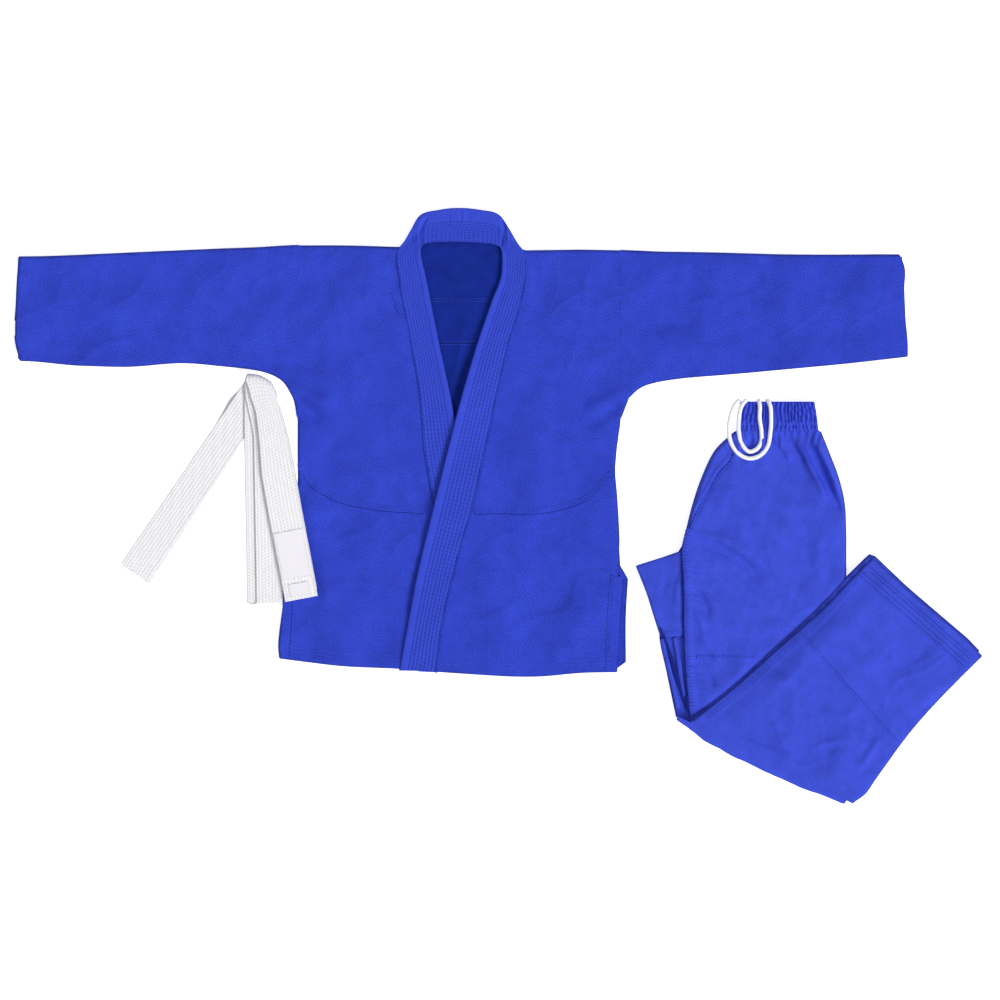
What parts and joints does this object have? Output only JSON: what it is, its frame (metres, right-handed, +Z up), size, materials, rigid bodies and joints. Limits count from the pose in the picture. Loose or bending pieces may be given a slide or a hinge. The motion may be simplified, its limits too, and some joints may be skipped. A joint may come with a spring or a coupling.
{
  "type": "martial arts uniform",
  "caption": "Child's blue martial arts uniform laid flat: jacket, folded white belt and folded trousers with a white drawstring.",
  "frame": {"origin": "centre of the whole flat lay on the surface that it lies on", "axes": "+Z up out of the surface; +Y from the hems towards the collar; +X from the wearer's right sleeve towards the wearer's left sleeve"},
  "size_m": [1.35, 0.8272, 0.0222],
  "materials": {
    "pearl_weave": "matte pearl weave cotton",
    "inner_weave": "matte cotton tape and lining",
    "twill": "matte cotton twill",
    "belt_cotton": "matte quilted cotton",
    "label_satin": "smooth woven label",
    "core_fill": "matte stiff core",
    "elastic_tape": "matte knitted elastic",
    "cord_cotton": "matte braided cotton"
  },
  "bodies": {
    "jacket": {"back_panel": "pearl_weave", "back_skirt": "pearl_weave", "back_yoke": "inner_weave", "right_front_panel": "pearl_weave", "right_front_skirt": "pearl_weave", "left_front_panel": "pearl_weave", "left_front_skirt": "pearl_weave", "right_shoulder_patch": "inner_weave", "left_shoulder_patch": "inner_weave", "right_front_vent_tape": "inner_weave", "right_back_vent_tape": "inner_weave", "left_front_vent_tape": "inner_weave", "left_back_vent_tape": "inner_weave", "collar_cover": "twill", "collar_core": "core_fill"},
    "right_sleeve_body": {"right_sleeve": "pearl_weave", "right_cuff_tape": "inner_weave"},
    "left_sleeve_body": {"left_sleeve": "pearl_weave", "left_cuff_tape": "inner_weave"},
    "belt": {"belt_cover": "belt_cotton", "belt_core": "core_fill", "belt_rank_patch": "label_satin", "belt_size_label": "label_satin"},
    "upper_trousers": {"right_leg_front_upper": "twill", "right_leg_back_upper": "twill", "left_leg_back_upper": "twill", "left_leg_front_upper": "twill", "crotch_gusset": "twill", "left_knee_patch_upper": "twill", "right_knee_patch_upper": "twill", "waistband_casing": "twill", "waist_elastic": "elastic_tape", "drawstring_outer_loop": "cord_cotton", "drawstring_inner_loop": "cord_cotton"},
    "lower_legs": {"left_leg_front_lower": "twill", "left_leg_back_lower": "twill", "right_leg_back_lower": "twill", "right_leg_front_lower": "twill", "left_knee_patch_lower": "twill", "right_knee_patch_lower": "twill", "left_hem_tape": "twill", "right_hem_tape": "twill"}
  },
  "joints": [
    {"name": "right_sleeve_fold", "type": "hinge", "parent": "jacket", "child": "right_sleeve_body", "pos_m": [-0.281, 0.24, 0.013], "axis": [0, 1, 0], "range_deg": [0, 180]},
    {"name": "left_sleeve_fold", "type": "hinge", "parent": "jacket", "child": "left_sleeve_body", "pos_m": [0.1694, 0.24, 0.018], "axis": [0, -1, 0], "range_deg": [0, 180]},
    {"name": "belt_lift", "type": "slide", "parent": "jacket", "child": "belt", "axis": [0, 0, 1], "range_m": [0, 0.15]},
    {"name": "trousers_lift", "type": "slide", "parent": "jacket", "child": "upper_trousers", "axis": [0, 0, 1], "range_m": [0, 0.15]},
    {"name": "leg_unfold", "type": "hinge", "parent": "upper_trousers", "child": "lower_legs", "pos_m": [0.25, -0.2936, 0.0104], "axis": [0.8968, -0.4424, 0], "range_deg": [0, 180]}
  ]
}
